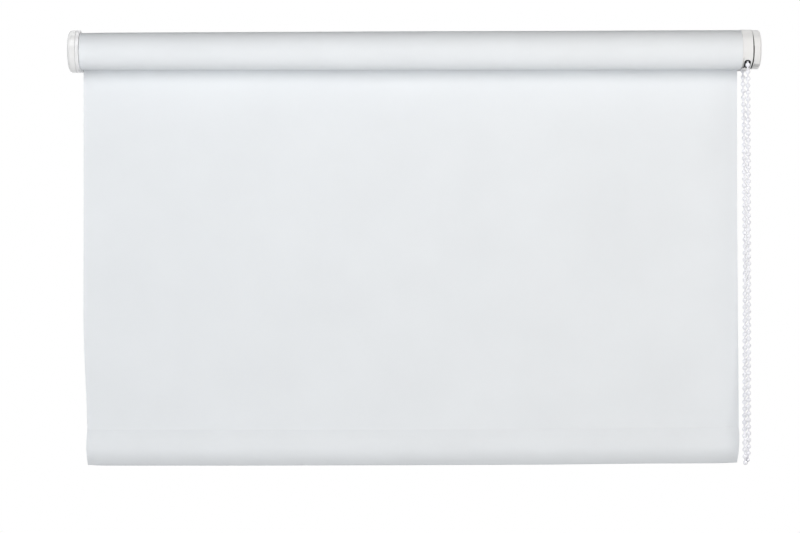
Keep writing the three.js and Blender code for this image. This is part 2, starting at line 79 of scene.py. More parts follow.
# Chain
BEAD_DIAMETER = 4.1
BEAD_PITCH = 6.0
THREAD_DIAMETER = 1.5
CHAIN_X = 291.0
WHEEL_POCKETS = 14
WRAP_BEADS = 7
WRAP_FROM = 0.363
SLOT_SHIFT = 0.6  # the strands hang a little to the right of the wheel's middle
WHEEL_PITCH_RADIUS = BEAD_PITCH / (2 * math.sin(math.pi / WHEEL_POCKETS))
FIRST_BEAD, LAST_BEAD = 2.95, 3.0  # along the thread, from where it leaves the guard

# Brackets: the wall plate, its screw holes with the rings of their countersink (behind the axis,
# radius), and the hexagonal hole for the clutch core
PLATE_THICKNESS, PLATE_WIDTH, PLATE_HALF = 2.6, 14, 16.5
SCREW_RADIUS, SCREW_RISE, SCREW_INSET = 2.1, 11.0, 6.5
COUNTERSINK = [(24.3, 3.9), (24.9, 3.9), (26.2, 2.0)]
HEX_RADIUS = 3.7

# The chain's route below the wheel: behind the axis, height and sideways lean, front strand first
CHAIN_ROUTE = [
    (-WHEEL_PITCH_RADIUS, -11.6, 0.5), (-13.3, -60, 0.8), (-12.75, -120, 0.95), (-12, -180, 1.1),
    (-10.2, -240, 1.2), (-6.9, -300, 1.5), (-2.8, -334, 2.1), (0.6, -352, 2.5), (2, -360.4, 1.8),
    (2.2, -363.9, 0.8), (1, -364.2, -0.1), (-1.2, -360.6, -0.8), (-1.2, -352.5, -1.1),
    (1.9, -334, -0.8), (6.6, -300, 0.2), (10, -240, 1), (11.8, -180, 1.5), (12.75, -120, 1.4),
    (13.3, -60, 1.1), (WHEEL_PITCH_RADIUS, -14.2, 0.2),
]


# Meshes

def placed(points):
    """Millimetres about the axis to metres in the shared frame."""
    return [(x * MM, (y - AXIS_TO_WALL) * MM, z * MM) for x, y, z in points]


def object_of(name, mesh):
    made = bpy.data.objects.new(name, mesh)
    bpy.context.scene.collection.objects.link(made)
    return made


def mesh_object(name, points, faces):
    """A closed mesh with its corners merged and its faces turned outwards."""
    mesh = bpy.data.meshes.new(name)
    mesh.from_pydata(placed(points), [], faces)
    bm = bmesh.new()
    bm.from_mesh(mesh)
    bmesh.ops.remove_doubles(bm, verts=bm.verts, dist=2e-6)
    bmesh.ops.dissolve_degenerate(bm, edges=bm.edges, dist=1e-7)
    bmesh.ops.recalc_face_normals(bm, faces=bm.faces)
    bm.to_mesh(mesh)
    bm.free()
    return object_of(name, mesh)


def applied(made):
    """The object with its modifiers worked into its mesh."""
    bpy.context.view_layer.update()
    evaluated = made.evaluated_get(bpy.context.evaluated_depsgraph_get())
    mesh = bpy.data.meshes.new_from_object(evaluated)
    made.modifiers.clear()
    made.data = mesh
    mesh.name = made.name
    return made


def combined(made, others, operation):
    """Joins the others to a solid or cuts them out of it, and removes them."""
    for other in others:
        step = made.modifiers.new("combine", "BOOLEAN")
        step.object, step.operation, step.solver = other, operation, "EXACT"
    applied(made)
    for other in others:
        bpy.data.objects.remove(other)


def cleaned(made, near=0.004):
    """Merges points closer than near, takes out what this leaves flat and closes small gaps."""
    bm = bmesh.new()
    bm.from_mesh(made.data)
    bmesh.ops.remove_doubles(bm, verts=bm.verts, dist=near * MM)
    bmesh.ops.dissolve_degenerate(bm, edges=bm.edges, dist=near * MM)
    bmesh.ops.holes_fill(bm, edges=[edge for edge in bm.edges if edge.is_boundary], sides=8)
    loose = [v for v in bm.verts if not v.link_faces]
    bmesh.ops.delete(bm, geom=loose, context="VERTS")
    bm.to_mesh(made.data)
    bm.free()
    return made


def softened(made, width, segments=3):
    """Rounds the sharp edges."""
    cleaned(made)
    step = made.modifiers.new("soften", "BEVEL")
    step.width, step.segments, step.limit_method = width * MM, segments, "ANGLE"
    step.angle_limit, step.use_clamp_overlap = math.radians(50), True
    return cleaned(applied(made), 0.008)


def shaded(made, angle=35):
    """Smooth faces, with the edges sharper than angle kept crisp and flats kept flat."""
    bm = bmesh.new()
    bm.from_mesh(made.data)
    for face in bm.faces:
        face.smooth = True
    for edge in bm.edges:
        edge.smooth = edge.calc_face_angle(0) < math.radians(angle)
    bm.to_mesh(made.data)
    bm.free()
    level = made.modifiers.new("flats", "WEIGHTED_NORMAL")
    level.keep_sharp = True
    return made


def fitted(made, body, look, slot, *nodes):
    """Gives a finished piece its material and body and hides the nodes that it stands for. The slot is not
    used.
    """
    made.data.materials.clear()
    made.data.materials.append(look)
    if body:
        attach(made, body)
    if nodes:
        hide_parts(*nodes)


def rounded(corners, closed=False, steps=6):
    """A flat outline from (u, v, radius) corners, each rounded by its radius."""
    points = []
    count = len(corners)
    for i, (u, v, radius) in enumerate(corners):
        here = Vector((u, v))
        if radius == 0 or (not closed and i in (0, count - 1)):
            points.append((u, v))
            continue
        back = (Vector(corners[i - 1][:2]) - here).normalized()
        ahead = (Vector(corners[(i + 1) % count][:2]) - here).normalized()
        half = back.angle(ahead) / 2
        centre = here + (back + ahead).normalized() * (radius / math.sin(half))
        start = here + back * (radius / math.tan(half)) - centre
        turn = start.angle_signed(here + ahead * (radius / math.tan(half)) - centre)
        for k in range(steps + 1):
            angle = -turn * k / steps
            cos, sin = math.cos(angle), math.sin(angle)
            points.append((centre.x + start.x * cos - start.y * sin,
                           centre.y + start.x * sin + start.y * cos))
    return points


def band(low, high, sides):
    """The faces between two closed rings of points, which start at low and at high."""
    return [(low + i, low + (i + 1) % sides, high + (i + 1) % sides, high + i)
            for i in range(sides)]


def lathe(name, outline, sides):
    """A body of revolution about the roller's axis from (x, radius) points.

    The outline starts and ends on the axis, or ends where it starts.
    """
    points, faces = [], []
    for x, radius in outline:
        for i in range(sides):
            angle = FULL_TURN * i / sides
            points.append((x, radius * math.cos(angle), radius * math.sin(angle)))
    for r in range(len(outline) - 1):
        faces += band(r * sides, (r + 1) * sides, sides)
    return mesh_object(name, points, faces)


def prism(name, outline, axis, low, high):
    """An outline run along an axis: x from (y, z), y from (x, z) or z from (x, y) points."""
    order = {"x": lambda u, v, w: (w, u, v), "y": lambda u, v, w: (u, w, v),
             "z": lambda u, v, w: (u, v, w)}[axis]
    count = len(outline)
    points = [order(u, v, w) for w in (low, high) for u, v in outline]
    faces = [tuple(range(count)), tuple(range(count, 2 * count)), *band(0, count, count)]
    return mesh_object(name, points, faces)


def circle(centre, radius, sides):
    return [(centre[0] + radius * math.cos(a), centre[1] + radius * math.sin(a))
            for a in np.linspace(0, FULL_TURN, sides + 1)[:-1]]


def arc(radius, start, end, steps):
    """Points about the axis between two angles in degrees."""
    start, end = math.radians(start), math.radians(end)
    angles = (start + (end - start) * k / steps for k in range(steps + 1))
    return [(radius * math.cos(a), radius * math.sin(a)) for a in angles]


def curved_strip(radius, other, start, end, steps):
    """The outline of a strip about the axis, out along one radius and back along the other."""
    return arc(radius, start, end, steps) + arc(other, end, start, steps)


def smoothstep(value, low, high):
    share = np.clip((np.asarray(value, float) - low) / (high - low), 0, 1)
    return share * share * (3 - 2 * share)


# Materials

def add(tree, kind, inputs=(), **settings):
    """A node with its settings, and each named input set to a value or joined to a socket."""
    node = tree.nodes.new("ShaderNode" + kind)
    for key, value in settings.items():
        setattr(node, key, value)
    for key, value in dict(inputs).items():
        if isinstance(value, bpy.types.NodeSocket):
            tree.links.new(value, node.inputs[key])
        else:
            node.inputs[key].default_value = value
    return node


def new_material(name):
    made = bpy.data.materials.new(name)
    made.use_nodes = True
    made.node_tree.nodes.clear()
    return made, made.node_tree


def math_node(tree, operation, *values):
    return add(tree, "Math", enumerate(values), operation=operation).outputs[0]


def spots(tree, where, scale, detail, roughness=0.5):
    """Noise from 0 to 1 at so many cells per metre."""
    return add(tree, "TexNoise", {"Vector": where, "Scale": scale, "Detail": detail,
                                  "Roughness": roughness}).outputs["Fac"]


def ranged(tree, value, low, high):
    return add(tree, "MapRange", {"Value": value, "From Min": 0.3, "From Max": 0.7,
                                  "To Min": low, "To Max": high}).outputs["Result"]


def toned(tree, colour, factor):
    """A colour made lighter or darker by a factor socket."""
    return add(tree, "VectorMath", {0: colour, 1: factor}, operation="MULTIPLY").outputs[0]


def bumped(tree, height, distance, strength):
    return add(tree, "Bump", {"Height": height, "Distance": distance,
                              "Strength": strength}).outputs["Normal"]


def finish_material(tree, **inputs):
    named = {key.replace("_", " "): value for key, value in inputs.items()}
    shader = add(tree, "BsdfPrincipled", named)
    add(tree, "OutputMaterial", {"Surface": shader.outputs[0]})


def cloth_material(name, colour):
    """Coated plain weave: threads 0.36 mm apart, a slub here and there and a faint uneven tone."""
    made, tree = new_material(name)
    where = add(tree, "Attribute", attribute_name="cloth_place").outputs["Vector"]
    across = add(tree, "SeparateXYZ", {"Vector": where})
    spacing = 0.00036
    thread = FULL_TURN / (2 * spacing)
    warp = math_node(tree, "SINE", math_node(tree, "MULTIPLY", across.outputs["X"], thread))
    weft = math_node(tree, "SINE", math_node(tree, "MULTIPLY", across.outputs["Y"], thread))
    weave = math_node(tree, "MULTIPLY", warp, weft)
    stretched = add(tree, "Mapping", {"Vector": where, "Scale": (1.0, 9.0, 1.0)}).outputs[0]
    slub = spots(tree, stretched, 260, 4)
    height = math_node(tree, "ADD", weave, math_node(tree, "MULTIPLY", slub, 1.6))
    normal = bumped(tree, height, 0.00003, 0.5)
    tone = math_node(tree, "ADD", ranged(tree, spots(tree, where, 14, 2), 0.985, 1.012),
                     math_node(tree, "MULTIPLY", weave, 0.012))
    finish_material(
        tree, Base_Color=toned(tree, colour, tone), Roughness=ranged(tree, slub, 0.62, 0.74),
        Normal=normal, Specular_IOR_Level=0.02)
    return made


def plastic_material(name, colour, shine=(0.16, 0.24), grain=0.00001, grain_scale=900, gloss=0.5):
    """Moulded plastic with an orange-peel surface, dull patches from handling and fine specks."""
    made, tree = new_material(name)
    where = add(tree, "TexCoord").outputs["Object"]
    peel = spots(tree, where, grain_scale, 2)
    handling = spots(tree, where, 55, 5, 0.6)
    specks = spots(tree, where, 2600, 1)
    tone = math_node(tree, "ADD", ranged(tree, handling, 0.985, 1.008),
                     math_node(tree, "MULTIPLY", specks, 0.008))
    finish_material(
        tree, Base_Color=toned(tree, colour, tone), Roughness=ranged(tree, handling, *shine),
        Normal=bumped(tree, peel, grain, 0.6), IOR=1.5, Specular_IOR_Level=gloss)
    return made


def metal_material(name, colour, lines=(1.0, 60.0, 60.0)):
    """Drawn metal with fine lines along its length."""
    made, tree = new_material(name)
    where = add(tree, "TexCoord").outputs["Object"]
    drawn = add(tree, "Mapping", {"Vector": where, "Scale": lines}).outputs[0]
    streak = spots(tree, drawn, 90, 4)
    finish_material(
        tree, Base_Color=toned(tree, colour, ranged(tree, streak, 0.93, 1.03)), Metallic=1.0,
        Roughness=ranged(tree, streak, 0.25, 0.4), Normal=bumped(tree, streak, 0.00001, 0.5))
    return made


def thread_material(name, colour):
    """Braided polyester thread."""
    made, tree = new_material(name)
    where = add(tree, "TexCoord").outputs["Object"]
    braid = add(tree, "TexWave", {"Vector": where, "Scale": 600.0, "Distortion": 2.0},
                wave_type="BANDS", bands_direction="DIAGONAL").outputs["Fac"]
    finish_material(
        tree, Base_Color=toned(tree, colour, ranged(tree, braid, 0.86, 1.02)), Roughness=0.6,
        Normal=bumped(tree, braid, 0.00005, 0.6))
    return made


cloth = cloth_material("blackout_cloth", (0.795, 0.822, 0.848))
white_gloss = plastic_material("white_gloss", (0.81, 0.81, 0.81))
white_bracket = plastic_material("white_bracket", (0.80, 0.80, 0.81), shine=(0.24, 0.34))
white_satin = plastic_material("white_satin", (0.80, 0.80, 0.80), shine=(0.26, 0.36), gloss=0.25)
bead_plastic = plastic_material("bead_plastic", (0.88, 0.885, 0.935), shine=(0.10, 0.16),
                                grain=0.000004)
cap_plastic = plastic_material("bar_cap_plastic", (0.66, 0.67, 0.76), shine=(0.3, 0.42))
grey_plastic = plastic_material("grey_plastic", (0.30, 0.31, 0.33), shine=(0.4, 0.55),
                                grain=0.00003)
# Near-black, for the ring that paints the shade in the seam between the guard and the cover
painted_seam_shade = plastic_material("black_painted_seam_shade", (0.012, 0.011, 0.011), shine=(0.7, 0.85), grain=0.00008,
                        grain_scale=2500, gloss=0.05)
# Dark plastic for the chain wheel, its own colour and also painted shade: it is dark so that the keyholes
# show the shade inside the guard
dark_wheel_shade = plastic_material("dark_wheel_shade_plastic", (0.016, 0.015, 0.016), shine=(0.4, 0.55),
                            grain=0.00003, gloss=0.08)
aluminium = metal_material("drawn_aluminium", (0.72, 0.73, 0.75))
spring_steel = metal_material("spring_steel", (0.55, 0.56, 0.58), lines=(20.0, 20.0, 20.0))
chain_thread = thread_material("chain_thread", (0.90, 0.90, 0.96))


# Camera

def make_camera():
    """At the photograph's place: level, square to the blind and a little left of its middle."""
    data = bpy.data.cameras.new("camera")
    data.lens, data.sensor_width = 99.7, 36.0
    data.clip_start, data.clip_end = 0.05, 100.0
    camera = object_of("camera", data)
    camera.location = (-0.01295, -1.977, -0.1899)
    camera.rotation_euler = (math.pi / 2, math.radians(0.16), 0)
    bpy.context.scene.camera = camera


# Bead chain

def spline_points(knots, steps):
    """Points on the smooth curve through the knots, spaced as the part's source spaces it."""
    knots = [Vector(k) for k in knots]
    knots = [2 * knots[0] - knots[1]] + knots + [2 * knots[-1] - knots[-2]]
    points = []
    for i in range(1, len(knots) - 2):
        p0, p1, p2, p3 = knots[i - 1:i + 3]
        d0, d1, d2 = ((b - a).length ** 0.5 for a, b in ((p0, p1), (p1, p2), (p2, p3)))
        t1 = ((p1 - p0) / d0 - (p2 - p0) / (d0 + d1) + (p2 - p1) / d1) * d1
        t2 = ((p2 - p1) / d1 - (p3 - p1) / (d1 + d2) + (p3 - p2) / d2) * d1
        for k in range(steps):
            t = k / steps
            points.append(p1 + t1 * t + (-3 * p1 + 3 * p2 - 2 * t1 - t2) * t ** 2
                          + (2 * p1 - 2 * p2 + t1 + t2) * t ** 3)
    points.append(knots[-2])
    return np.array([p[:] for p in points])


def along(points, distances):
    """Places and directions on a line of points at these distances from its start."""
    steps = np.linalg.norm(np.diff(points, axis=0), axis=1)
    run = np.concatenate([[0], np.cumsum(steps)])
    at = np.stack([np.interp(distances, run, points[:, k]) for k in range(3)], 1)
    nudge = 0.05
    ahead = np.stack([np.interp(np.minimum(distances + nudge, run[-1]), run, points[:, k])
                      for k in range(3)], 1)
    behind = np.stack([np.interp(np.maximum(distances - nudge, 0), run, points[:, k])
                       for k in range(3)], 1)
    return at, ahead - behind


def bead_outline():
    """(along, radius) of one moulded bead: a ball with a fine moulding line and thread holes."""
    half, hole, ridge, steps = BEAD_DIAMETER / 2, THREAD_DIAMETER / 2 * 1.05, 0.035, 20
    first = math.asin(hole / half)
    outline = [(-half * 0.82, hole * 0.9)]
    for k in range(steps + 1):
        angle = first + (math.pi - 2 * first) * k / steps
        line = ridge if k == steps // 2 else 0.0
        outline.append((-half * math.cos(angle), half * math.sin(angle) + line))
    return outline + [(half * 0.82, hole * 0.9)]


def beads_mesh(name, centres, directions):
    outline, sides = bead_outline(), 28
    points, faces = [], []
    for n, (centre, direction) in enumerate(zip(centres, directions)):
        forward = Vector(direction).normalized()
        side = forward.cross(Vector((1.0, 0.03 * (n % 3), 0.0))).normalized()
        up = side.cross(forward)
        base = len(points)
        for place, radius in outline:
            for i in range(sides):
                angle = FULL_TURN * i / sides
                spot = (Vector(centre) + forward * place
                        + side * (radius * math.cos(angle)) + up * (radius * math.sin(angle)))
                points.append(spot[:])
        last = base + (len(outline) - 1) * sides
        for ring in range(base, last, sides):
            faces += band(ring, ring + sides, sides)
        faces.append(tuple(base + i for i in range(sides)))
        faces.append(tuple(last + i for i in range(sides)))
    return mesh_object(name, points, faces)


def thread_curve(name, points):
    data = bpy.data.curves.new(name, "CURVE")
    data.dimensions, data.bevel_depth, data.bevel_resolution = "3D", THREAD_DIAMETER / 2 * MM, 3
    data.use_fill_caps = True
    spline = data.splines.new("POLY")
    spline.points.add(len(points) - 1)
    for point, place in zip(spline.points, placed(points)):
        point.co = (*place, 1)
    spline.use_smooth = True
    return object_of(name, data)


def on_wheel(angle):
    """A place on the chain wheel, by its angle from the front over the top."""
    return (CHAIN_X, -WHEEL_PITCH_RADIUS * math.cos(angle), WHEEL_PITCH_RADIUS * math.sin(angle))


def make_chain():
    """The loop below the wheel and the beads that lie over it, each with its thread."""
    route = spline_points([(CHAIN_X + lean, y, z) for y, z, lean in CHAIN_ROUTE], 40)
    length = float(np.linalg.norm(np.diff(route, axis=0), axis=1).sum())
    run = length - FIRST_BEAD - LAST_BEAD
    count = round(run / BEAD_PITCH) + 1
    pitch = run / (count - 1)
    centres, directions = along(route, FIRST_BEAD + pitch * np.arange(count))
    beads = beads_mesh("chain_beads", centres, directions)
    fitted(shaded(beads), "chain", bead_plastic, "chain")
    thread = thread_curve("chain_thread", route[::2])
    fitted(thread, "chain", chain_thread, "chain", "chain_loop")

    angles = WRAP_FROM + np.arange(WRAP_BEADS) * FULL_TURN / WHEEL_POCKETS
    wrap = beads_mesh("wheel_beads", [on_wheel(a) for a in angles],
                      [(0, math.sin(a), math.cos(a)) for a in angles])
    fitted(shaded(wrap), "roller", bead_plastic, "chain", "chain_wrap")
    spare = 0.15
    stretch = np.linspace(angles[0] - spare, angles[-1] + spare, 60)
    wrap_thread = thread_curve("wheel_thread", [on_wheel(a) for a in stretch])
    fitted(wrap_thread, "roller", chain_thread, "chain")


# Cloth

def roll_radius(x):
    """Outside of the wound cloth, a little fatter towards the chain."""
    share = (x - FABRIC_LEFT) / (FABRIC_RIGHT - FABRIC_LEFT)
    return ROLL_LEFT_RADIUS + share * (ROLL_RIGHT_RADIUS - ROLL_LEFT_RADIUS)


def turn_radius(x, angle):
    """Outside of the outer turn, which lies slack at the top and sags less underneath."""
    top = np.interp(x, [FABRIC_LEFT, -270, -130, 0, 130, 220, FABRIC_RIGHT],
                    [16.2, 16.55, 16.8, 17.0, 17.0, 17.2, 17.2])
    bottom = np.interp(x, [FABRIC_LEFT, -270, -130, 0, FABRIC_RIGHT],
                       [15.8, 16.2, 16.5, 16.95, 17.3])
    return (top + bottom) / 2 + (top - bottom) / 2 * math.sin(angle)


def edge_shift(z):
    """How far the cut edges wander sideways at a height: left edge, right edge."""
    left = np.interp(z, [-366, -346, -337, -328, -318, -307, -297, -286, -265, -243, -222, -140, 0],
                     [1.5, 1.5, 2.0, 1.9, 1.8, 1.5, 1.0, 0.55, -0.4, -0.9, -0.9, -0.4, 0.0])
    right = np.interp(z, [-366, -350, -340, -330, -300, -240, -135, 0],
                      [0.1, 0.5, 0.7, 0.5, 0.3, 0.0, -0.4, 0.0])
    return left, right


def wandered(x, z):
    """A place across the cloth, moved with the cut edge that it lies near."""
    left, right = edge_shift(z)
    return (x + left * np.exp(-((x - FABRIC_LEFT) / EDGE_REACH) ** 2)
            + right * np.exp(-((FABRIC_RIGHT - x) / EDGE_REACH) ** 2))


def hem_lift(x):
    """How far the hem's edge stands above its level along the width, highest at both corners."""
    return np.interp(x, [-293, -289, -285.5, -278, -145, -13, 120, 208, 252, 270, 279, 287],
                     [0.85, 0.75, 0.42, 0.18, -0.15, -0.23, 0.0, 0.7, 0.72, 0.77, 1.1, 1.4])


def ripple(x, z):
    """How far the hanging cloth stands off its plane, in millimetres."""
    down = -z
    hang = smoothstep(down, 5, 90) * (1 - smoothstep(down, 300, 334))
    slow = np.array([noise.noise((a / 170, b / 260, 3.7)) for a, b in zip(x, z)])
    fine = np.array([noise.noise((a / 46, b / 120, 9.1)) for a, b in zip(x, z)])
    edge = np.exp(-(x - FABRIC_LEFT) / 14) + np.exp(-(FABRIC_RIGHT - x) / 12)
    across, above = x + 135, z + 219  # from the crease's middle
    crease = np.exp(-((across * 0.8 + above * 0.6) / 3.0) ** 2
                    - ((across * 0.6 - above * 0.8) / 12.0) ** 2)
    return hang * (0.55 * slow + 0.12 * fine + 0.5 * edge) - 0.16 * crease


def across_cloth(margin, few, many):
    """Places across the cloth: few of them, close together, in each margin and many between."""
    left, right = FABRIC_LEFT + margin, FABRIC_RIGHT - margin
    return np.concatenate([np.linspace(FABRIC_LEFT, left, few)[:-1], np.linspace(left, right, many),
                           np.linspace(right, FABRIC_RIGHT, few)[1:]])


def strip_rows():
    """Where each row of the strip lies: ('turn', angle) round the roll, then ('hang', height)."""
    turn = [("turn", a) for a in np.linspace(WRAP_START, -FULL_TURN, 110)]
    heights = list(np.arange(-2, -334, -4.0)) + [-334.3, -335.4]
    return turn + [("hang", z) for z in heights]


def sheet_faces(count, wide):
    """The faces of a strip of count rows by wide columns: outside, inside and the rim between."""
    half, faces = count * wide, []
    for r in range(count - 1):
        for c in range(wide - 1):
            a = r * wide + c
            quad = (a, a + 1, a + 1 + wide, a + wide)
            faces += [quad, tuple(half + k for k in reversed(quad))]
    rim = ([r * wide for r in range(count)] + [(count - 1) * wide + c for c in range(1, wide)]
           + [r * wide + wide - 1 for r in range(count - 2, -1, -1)]
           + list(range(wide - 2, 0, -1)))
    for a, b in zip(rim, rim[1:] + rim[:1]):
        faces.append((a, b, b + half, a + half))
    return faces


def make_sheet():
    """One strip: the roll's outer turn, then the cloth that hangs from its back."""
    columns, rows = across_cloth(20, 7, 91), strip_rows()
    wide = len(columns)
    run, places, normals, strip, weights = 0.0, [], [], [], []
    for kind, value in rows:
        middle = turn_radius(columns, value if kind == "turn" else 0.0) - CLOTH / 2
        if kind == "turn":
            x, y, z = columns, middle * math.cos(value), middle * math.sin(value)
            out, weight = (0.0, math.cos(value), math.sin(value)), 0.0
        else:
            z = value + hem_lift(columns) * smoothstep(-value, 250, 334)
            y = middle + (SHEET_MIDDLE - middle) * smoothstep(-value, 0, 160) - ripple(columns, z)
            x = wandered(columns, value)
            out, weight = (0.0, 1.0, 0.0), min(1.0, value / WELD_TOP)
        here = np.stack([x, y, z], 1)
        if places:
            run += float(np.linalg.norm(here[MEASURED_COLUMN] - places[-1][MEASURED_COLUMN]))
        places.append(here)
        normals.append(np.tile(out, (wide, 1)))
        strip.append(np.stack([columns, np.full_like(columns, run), np.zeros_like(columns)], 1))
        weights.append(np.full(wide, weight))
    places, normals = np.array(places), np.array(normals)
    outer, inner = places + normals * CLOTH / 2, places - normals * CLOTH / 2
    points = np.concatenate([outer.reshape(-1, 3), inner.reshape(-1, 3)])
    mesh = bpy.data.meshes.new("fabric")
    mesh.from_pydata(placed(points.tolist()), [], sheet_faces(len(rows), wide))
    mesh.validate()
    place = mesh.attributes.new("cloth_place", "FLOAT_VECTOR", "POINT")
    both = np.concatenate([np.array(strip).reshape(-1, 3)] * 2) * MM
    place.data.foreach_set("vector", both.astype(np.float32).ravel())
    sheet = object_of("fabric", mesh)
    bm = bmesh.new()
    bm.from_mesh(mesh)
    bmesh.ops.recalc_face_normals(bm, faces=bm.faces)
    for face in bm.faces:
        face.smooth = True
    for edge in bm.edges:
        edge.smooth = edge.calc_face_angle(0) < math.radians(50)
    bm.to_mesh(mesh)
    bm.free()
    fitted(sheet, None, cloth, "cloth", "fabric_sheet")
    sheet_y = (SHEET_MIDDLE - AXIS_TO_WALL) * MM
    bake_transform(sheet, "frame", "bottom_rail", start=(0, sheet_y, 0), end=(0, sheet_y, -0.33465))
    even = np.concatenate([np.array(weights).ravel()] * 2).astype(np.float32)
    mesh.attributes["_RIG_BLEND"].data.foreach_set("value", even)


def make_roll():
    """The wound cloth under the outer turn, with its turns showing at both ends."""
    sides, inset, lip, shoulder, step = 120, 0.02, 0.13, 0.3, 0.004
    points, faces = [], []

    def add_ring(x, radii):
        base = len(points)
        for i, radius in enumerate(radii):
            angle = FULL_TURN * i / sides
            points.append((x, radius * math.cos(angle), radius * math.sin(angle)))
        return base

    rings = []
    for end, inward in ((FABRIC_LEFT, 1), (FABRIC_RIGHT, -1)):
        outer = roll_radius(end) - CLOTH - TURN_GAP
        turns = int((outer - ROLL_BORE) / CLOTH) + 2
        ends = []
        for k in range(-2, 2 * turns + 1):
            low, high = ROLL_BORE + step * (k + 3), outer - step * (2 * turns - k)
            radii = [min(max(ROLL_BORE + CLOTH * (k / 2 + i / sides), low), high)
                     for i in range(sides)]
            ends.append(add_ring(end + inward * (inset + (lip if k % 2 else 0.0)), radii))
        ends.append(add_ring(end + inward * shoulder, [outer] * sides))
        rings.append(ends)
    chain = rings[0] + rings[1][::-1]
    for a, b in zip(chain, chain[1:] + chain[:1]):
        faces += band(a, b, sides)
    roll = mesh_object("fabric_roll_core", points, faces)
    place_on_strip(roll)
    shaded(roll, 30)
    fitted(roll, "roller", cloth, "cloth", "fabric_roll")


def place_on_strip(roll):
    """Writes where each of the roll's points lies on its strip, for the weave."""
    mesh, radius = roll.data, 0.0166
    where = mesh.attributes.new("cloth_place", "FLOAT_VECTOR", "POINT")
    values = []
    for v in mesh.vertices:
        values += [v.co.x, math.atan2(v.co.z, v.co.y + AXIS_TO_WALL * MM) * radius, 0.0]
    where.data.foreach_set("vector", values)


# The hem's front face from the weld down, then its back face up again: height, and how far in
# front of the cloth's middle plane
HEM_FRONT = [
    (-334.65, 0.42), (-335.1, 0.52), (-336.6, 0.86), (-338.15, 1.25), (-338.6, 1.36), (-340.0, 1.75),
    (-341.5, 2.1), (-343.6, 2.4), (-346.0, 2.6), (-348.5, 2.7), (-350.5, 2.6), (-352.5, 2.26),
    (-354.5, 1.64), (-356.5, 0.78), (-358.5, -0.36), (-360.3, -1.6), (-362.0, -3.0), (-363.5, -4.35),
    (-365.0, -5.8), (-366.1, -7.0), (-366.85, -7.9),
]
HEM_BACK = [
    (-366.85, -8.4), (-365.9, -8.9), (-363.0, -9.1), (-360.0, -8.9), (-356.0, -8.3), (-352.0, -7.6),
    (-348.5, -6.6), (-345.5, -5.1), (-343.0, -3.1), (-341.0, -1.2), (-339.6, -0.1), (-338.6, 0.36),
    (-338.15, 0.42), (-336.6, -0.04), (-335.1, -0.32), (-334.65, -0.42),
]


def hem_outline(inset):
    """The pocket's section, (behind the axis, height), down the front and up the back."""
    ring = [(SHEET_MIDDLE - depth, z) for z, depth in HEM_FRONT + HEM_BACK]
    if not inset:
        return ring
    points = []
    for i, here in enumerate(ring):
        before, after = Vector(ring[i - 1]), Vector(ring[(i + 1) % len(ring)])
        along_skin = (after - before).normalized()
        points.append((here[0] - along_skin.y * inset, here[1] + along_skin.x * inset))
    return points


def make_hem():
    """The pocket's cloth: an outer and an inner skin, joined at the cut edges."""
    outer = hem_outline(0.0)
    inner = [(y, z) for y, z in hem_outline(CLOTH) if z < WELD_BOTTOM - 1.0]
    stations = across_cloth(12, 9, 150)
    points, faces, strip = [], [], []

    def ring(outline, x):
        base = len(points)
        run, last, lift = 0.0, outline[0], float(hem_lift(x))
        for y, z in outline:
            body = float(smoothstep(-z, 339, 352))
            swell = (0.10 * noise.noise((x / 38, z / 30, 1.3))
                     + 0.05 * noise.noise((x / 9, z / 16, 5.0)))
            run += math.dist((y, z), last)
            last = (y, z)
            points.append((float(wandered(x, z)),
                           y + math.copysign(swell * body, y - SHEET_MIDDLE), z + lift))
            strip.append((x * MM, run * MM, 0.0))
        return base

    outside = [ring(outer, x) for x in stations]
    inside = [ring(inner, x) for x in stations]
    for rings, count in ((outside, len(outer)), (inside, len(inner))):
        for a, b in zip(rings, rings[1:]):
            faces += band(a, b, count)
    mesh = bpy.data.meshes.new("hem_pocket_cloth")
    mesh.from_pydata(placed(points), [], faces)
    where = mesh.attributes.new("cloth_place", "FLOAT_VECTOR", "POINT")
    where.data.foreach_set("vector", np.array(strip, np.float32).ravel())
    bm = bmesh.new()
    bm.from_mesh(mesh)
    bm.verts.ensure_lookup_table()
    for a, b in ((outside[0], inside[0]), (outside[-1], inside[-1])):
        loops = [[bm.verts[s + i] for i in range(n)] for s, n in ((a, len(outer)), (b, len(inner)))]
        edges = [bm.edges.get(pair) for loop in loops for pair in zip(loop, loop[1:] + loop[:1])]
        bmesh.ops.bridge_loops(bm, edges=edges)
    bmesh.ops.recalc_face_normals(bm, faces=bm.faces)
    bm.to_mesh(mesh)
    bm.free()
    hem = object_of("hem_pocket_cloth", mesh)
    shaded(hem, 60)
    fitted(hem, "bottom_rail", cloth, "cloth", "hem_pocket")


def bar_outline(inset):
    """The bottom bar's section inside the pocket."""
    skin, bottom, top = CLOTH + 0.3 + inset, -366, -341.4
    return [(y, z) for y, z in hem_outline(skin) if bottom + 1.4 * skin < z < top - 1.3 * inset]


def tilted(made):
    """Raises the bar's right end a little, as it hangs."""
    for v in made.data.vertices:
        v.co.z += float(np.interp(v.co.x / MM, [FABRIC_LEFT, FABRIC_RIGHT], [-0.1, 0.75])) * MM
    return made


